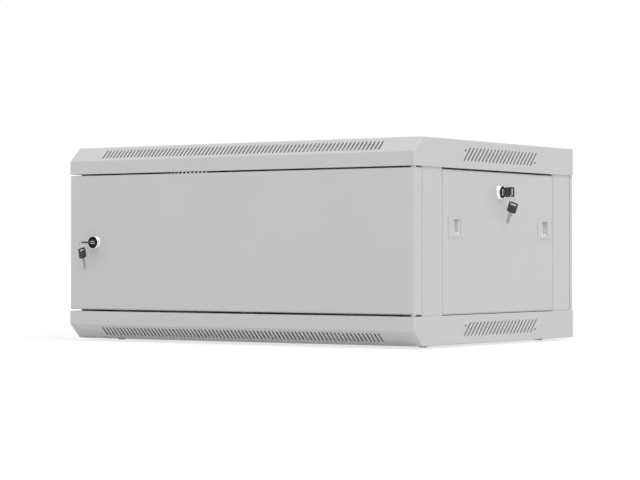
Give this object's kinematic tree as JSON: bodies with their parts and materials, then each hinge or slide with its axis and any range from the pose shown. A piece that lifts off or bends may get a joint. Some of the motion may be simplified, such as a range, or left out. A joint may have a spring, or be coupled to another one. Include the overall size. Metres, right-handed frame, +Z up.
{
  "type": "wall mount network cabinet",
  "caption": "Wall-mounted steel cabinet for 19 inch network equipment, with a hinged locking front door, lift-off side panels, slide latches, slotted covers and rack rails.",
  "frame": {"origin": "on the surface that the feet stand on, under the middle of the whole object's box", "axes": "+Z up, -Y out of the front door, +X to the right as seen from the front"},
  "size_m": [0.653, 0.4786, 0.2849],
  "materials": {
    "cabinet_paint": "light grey powder coat on sheet steel, fine texture",
    "foot_rubber": "grey rubber",
    "lock_chrome": "polished chrome plate",
    "lock_face": "black coated zinc casting",
    "ring_wire": "bright nickel plated wire",
    "key": "nickel plated steel blade with a dark moulded bow",
    "latch_plastic": "light grey moulded plastic, fine grain",
    "spring_wire": "spring steel wire",
    "zinc_steel": "bright zinc plate"
  },
  "bodies": {
    "root": {"top_cover": "cabinet_paint", "bottom_cover": "cabinet_paint", "rear_panel": "cabinet_paint", "front_post_left": "cabinet_paint", "front_post_right": "cabinet_paint", "rear_post_left": "cabinet_paint", "rear_post_right": "cabinet_paint", "rack_rail_front_left": "cabinet_paint", "rack_rail_front_right": "cabinet_paint", "rack_rail_rear_left": "cabinet_paint", "rack_rail_rear_right": "cabinet_paint", "rail_carriers": "cabinet_paint", "rail_bolts": "zinc_steel", "cable_entry_plates": "cabinet_paint", "plate_screws": "zinc_steel", "rear_panel_screws": "zinc_steel", "feet": "foot_rubber", "earth_stud": "zinc_steel", "hinge_washers": "zinc_steel"},
    "door": {"door_panel": "cabinet_paint", "door_stiffener": "cabinet_paint", "door_hinge_pin_lower": "zinc_steel", "door_hinge_bracket": "zinc_steel", "door_hinge_spring": "spring_wire", "door_lock_body": "lock_chrome", "door_lock_nut": "zinc_steel"},
    "hinge_pin": {"door_hinge_pin_upper": "zinc_steel"},
    "door_lock": {"door_lock_plug": "lock_face", "door_lock_cam": "zinc_steel", "door_key": "key"},
    "door_ring": {"door_key_ring": "ring_wire"},
    "door_spare": {"door_spare_key": "key"},
    "side_left": {"side_panel_left": "cabinet_paint", "latch_housings_left": "latch_plastic", "side_left_lock_body": "lock_chrome", "side_left_lock_nut": "zinc_steel", "latch_spring_front_left": "spring_wire", "latch_spring_rear_left": "spring_wire"},
    "side_left_lock": {"side_left_lock_plug": "lock_face", "side_left_lock_cam": "zinc_steel", "side_left_key": "key"},
    "side_left_ring": {"side_left_key_ring": "ring_wire"},
    "side_left_spare": {"side_left_spare_key": "key"},
    "latch_front_left": {"latch_slider_front_left": "latch_plastic"},
    "latch_rear_left": {"latch_slider_rear_left": "latch_plastic"},
    "side_right": {"side_panel_right": "cabinet_paint", "latch_housings_right": "latch_plastic", "side_right_lock_body": "lock_chrome", "side_right_lock_nut": "zinc_steel", "latch_spring_front_right": "spring_wire", "latch_spring_rear_right": "spring_wire"},
    "side_right_lock": {"side_right_lock_plug": "lock_face", "side_right_lock_cam": "zinc_steel", "side_right_key": "key"},
    "side_right_ring": {"side_right_key_ring": "ring_wire"},
    "side_right_spare": {"side_right_spare_key": "key"},
    "latch_front_right": {"latch_slider_front_right": "latch_plastic"},
    "latch_rear_right": {"latch_slider_rear_right": "latch_plastic"}
  },
  "joints": [
    {"name": "door_swing", "type": "hinge", "parent": "root", "child": "door", "pos_m": [0.2922, -0.20066, 0.1448], "axis": [0, 0, 1], "range_deg": [0, 180]},
    {"name": "hinge_pin_pull", "type": "slide", "parent": "door", "child": "hinge_pin", "axis": [0, 0, -1], "range_m": [0, 0.0055], "stiffness_N_per_m": 500, "springref_m": -0.006, "deforming": ["door_hinge_spring"]},
    {"name": "door_lock_turn", "type": "hinge", "parent": "door", "child": "door_lock", "pos_m": [-0.2525, -0.21066, 0.1448], "axis": [0, -1, 0], "range_deg": [0, 90]},
    {"name": "door_ring_hang", "type": "hinge", "parent": "door_lock", "child": "door_ring", "pos_m": [-0.2586, -0.23026, 0.1448], "axis": [0, -1, 0], "range_deg": [-90, 0]},
    {"name": "door_spare_swing", "type": "hinge", "parent": "door_ring", "child": "door_spare", "pos_m": [-0.2586, -0.23026, 0.13424], "axis": [1, 0, 0], "range_deg": [-60, 18]},
    {"name": "side_left_pull", "type": "slide", "parent": "root", "child": "side_left", "axis": [-1, 0, 0], "range_m": [0, 0.15]},
    {"name": "side_left_lock_turn", "type": "hinge", "parent": "side_left", "child": "side_left_lock", "pos_m": [-0.298, 0.02219, 0.215], "axis": [1, 0, 0], "range_deg": [0, 90]},
    {"name": "side_left_ring_hang", "type": "hinge", "parent": "side_left_lock", "child": "side_left_ring", "pos_m": [-0.3176, 0.02219, 0.2089], "axis": [1, 0, 0], "range_deg": [-90, 0]},
    {"name": "side_left_spare_swing", "type": "hinge", "parent": "side_left_ring", "child": "side_left_spare", "pos_m": [-0.3176, 0.02219, 0.19834], "axis": [0, -1, 0], "range_deg": [-70, 12]},
    {"name": "latch_front_left_pull", "type": "slide", "parent": "side_left", "child": "latch_front_left", "axis": [0, 1, 0], "range_m": [0, 0.004], "stiffness_N_per_m": 300, "springref_m": -0.003, "deforming": ["latch_spring_front_left"]},
    {"name": "latch_rear_left_pull", "type": "slide", "parent": "side_left", "child": "latch_rear_left", "axis": [0, -1, 0], "range_m": [0, 0.004], "stiffness_N_per_m": 300, "springref_m": -0.003, "deforming": ["latch_spring_rear_left"]},
    {"name": "side_right_pull", "type": "slide", "parent": "root", "child": "side_right", "axis": [1, 0, 0], "range_m": [0, 0.15]},
    {"name": "side_right_lock_turn", "type": "hinge", "parent": "side_right", "child": "side_right_lock", "pos_m": [0.298, 0.02219, 0.215], "axis": [1, 0, 0], "range_deg": [0, 90]},
    {"name": "side_right_ring_hang", "type": "hinge", "parent": "side_right_lock", "child": "side_right_ring", "pos_m": [0.3176, 0.02219, 0.2089], "axis": [1, 0, 0], "range_deg": [-90, 0]},
    {"name": "side_right_spare_swing", "type": "hinge", "parent": "side_right_ring", "child": "side_right_spare", "pos_m": [0.3176, 0.02219, 0.19834], "axis": [0, 1, 0], "range_deg": [-70, 12]},
    {"name": "latch_front_right_pull", "type": "slide", "parent": "side_right", "child": "latch_front_right", "axis": [0, 1, 0], "range_m": [0, 0.004], "stiffness_N_per_m": 300, "springref_m": -0.003, "deforming": ["latch_spring_front_right"]},
    {"name": "latch_rear_right_pull", "type": "slide", "parent": "side_right", "child": "latch_rear_right", "axis": [0, -1, 0], "range_m": [0, 0.004], "stiffness_N_per_m": 300, "springref_m": -0.003, "deforming": ["latch_spring_rear_right"]}
  ],
  "couplings": [
    {"joint": "door_ring_hang", "follows": "door_lock_turn", "ratio": -1},
    {"joint": "side_left_ring_hang", "follows": "side_left_lock_turn", "ratio": -1},
    {"joint": "side_right_ring_hang", "follows": "side_right_lock_turn", "ratio": -1}
  ]
}
